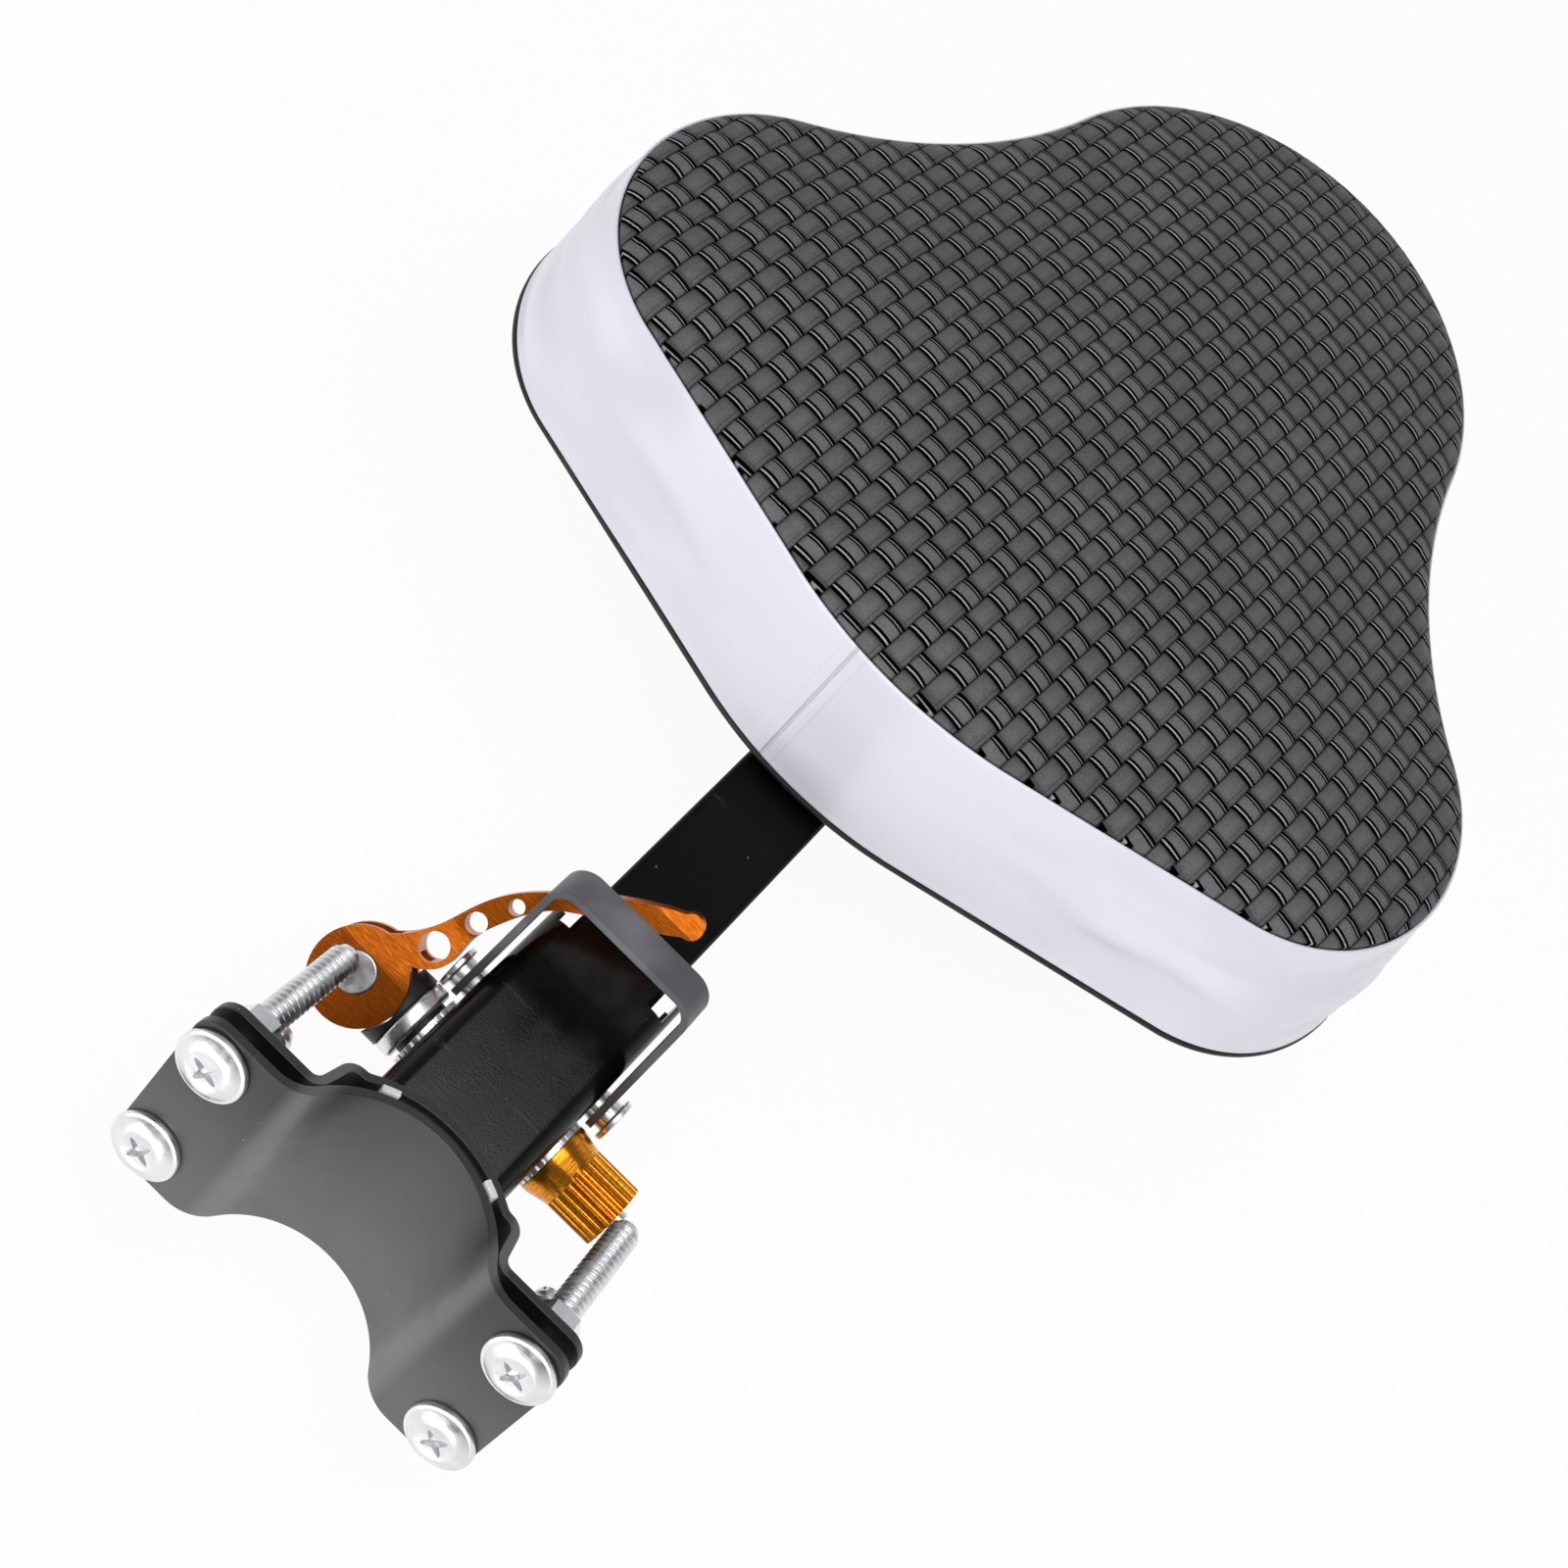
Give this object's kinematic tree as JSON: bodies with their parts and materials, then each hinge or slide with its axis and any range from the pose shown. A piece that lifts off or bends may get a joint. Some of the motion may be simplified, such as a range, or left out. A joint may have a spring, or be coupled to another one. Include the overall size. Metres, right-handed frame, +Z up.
{
  "type": "child bike saddle",
  "caption": "Padded child bike saddle with a three-lobed woven top and pale side band, on a steel arm that slides into a tube clamp's socket with a cam lever, thumb nut and safety bail.",
  "frame": {"origin": "axis of the tube that the clamp grips, halfway up the clamp plates", "axes": "+Z up with the seat level, +Y from the clamp to the seat, +X towards the thumb nut"},
  "size_m": [0.2616, 0.3768, 0.0951],
  "materials": {
    "black_paint": "satin black powder coat",
    "grey_paint": "satin dark grey",
    "black_rubber": "matt",
    "white_strip": "matt white",
    "bright_zinc": "bright zinc plate",
    "orange_anodised": "orange anodised",
    "amber_anodised": "amber anodised",
    "black_plastic": "matt moulded",
    "plywood": "bare",
    "foam": "open-cell foam",
    "charcoal_weave": "basket-woven, slight sheen",
    "pale_vinyl": "glossy coated"
  },
  "bodies": {
    "clamp": {"front_clamp_plate": "black_paint", "rear_clamp_plate": "black_paint", "front_liner": "black_rubber", "rear_liner": "black_rubber", "liner_strips": "white_strip", "clamp_bolts": "bright_zinc", "clamp_nuts": "bright_zinc", "socket_tube": "black_paint", "skewer": "bright_zinc", "lever_barrel": "bright_zinc", "cam_washer": "black_plastic", "pressure_disc": "bright_zinc", "spacer_washer": "black_plastic", "lever_lock_washer": "bright_zinc", "nut_lock_washer": "bright_zinc", "left_bail_pin": "bright_zinc", "right_bail_pin": "bright_zinc"},
    "lever": {"cam_lever": "orange_anodised"},
    "nut": {"thumb_nut": "amber_anodised"},
    "bail": {"safety_bail": "grey_paint"},
    "seat": {"stem_tube": "black_paint", "seat_plate": "black_paint", "seat_screws": "bright_zinc", "tee_nuts": "bright_zinc", "seat_board": "plywood", "foam_pad": "foam", "top_cover": "charcoal_weave", "side_band": "pale_vinyl", "rim_trim": "black_plastic"}
  },
  "joints": [
    {"name": "lever_swing", "type": "hinge", "parent": "clamp", "child": "lever", "pos_m": [-0.036, 0.0537, -0.01634], "axis": [0, -0.5299, 0.848], "range_deg": [0, 120]},
    {"name": "nut_turn", "type": "hinge", "parent": "clamp", "child": "nut", "pos_m": [0.026, 0.0537, -0.01634], "axis": [1, 0, 0], "continuous": true},
    {"name": "bail_swing", "type": "hinge", "parent": "clamp", "child": "bail", "pos_m": [0, 0.0675, -0.01334], "axis": [1, 0, 0], "range_deg": [-1, 40]},
    {"name": "seat_slide", "type": "slide", "parent": "clamp", "child": "seat", "axis": [0, 1, 0], "range_m": [0, 0.04]}
  ]
}
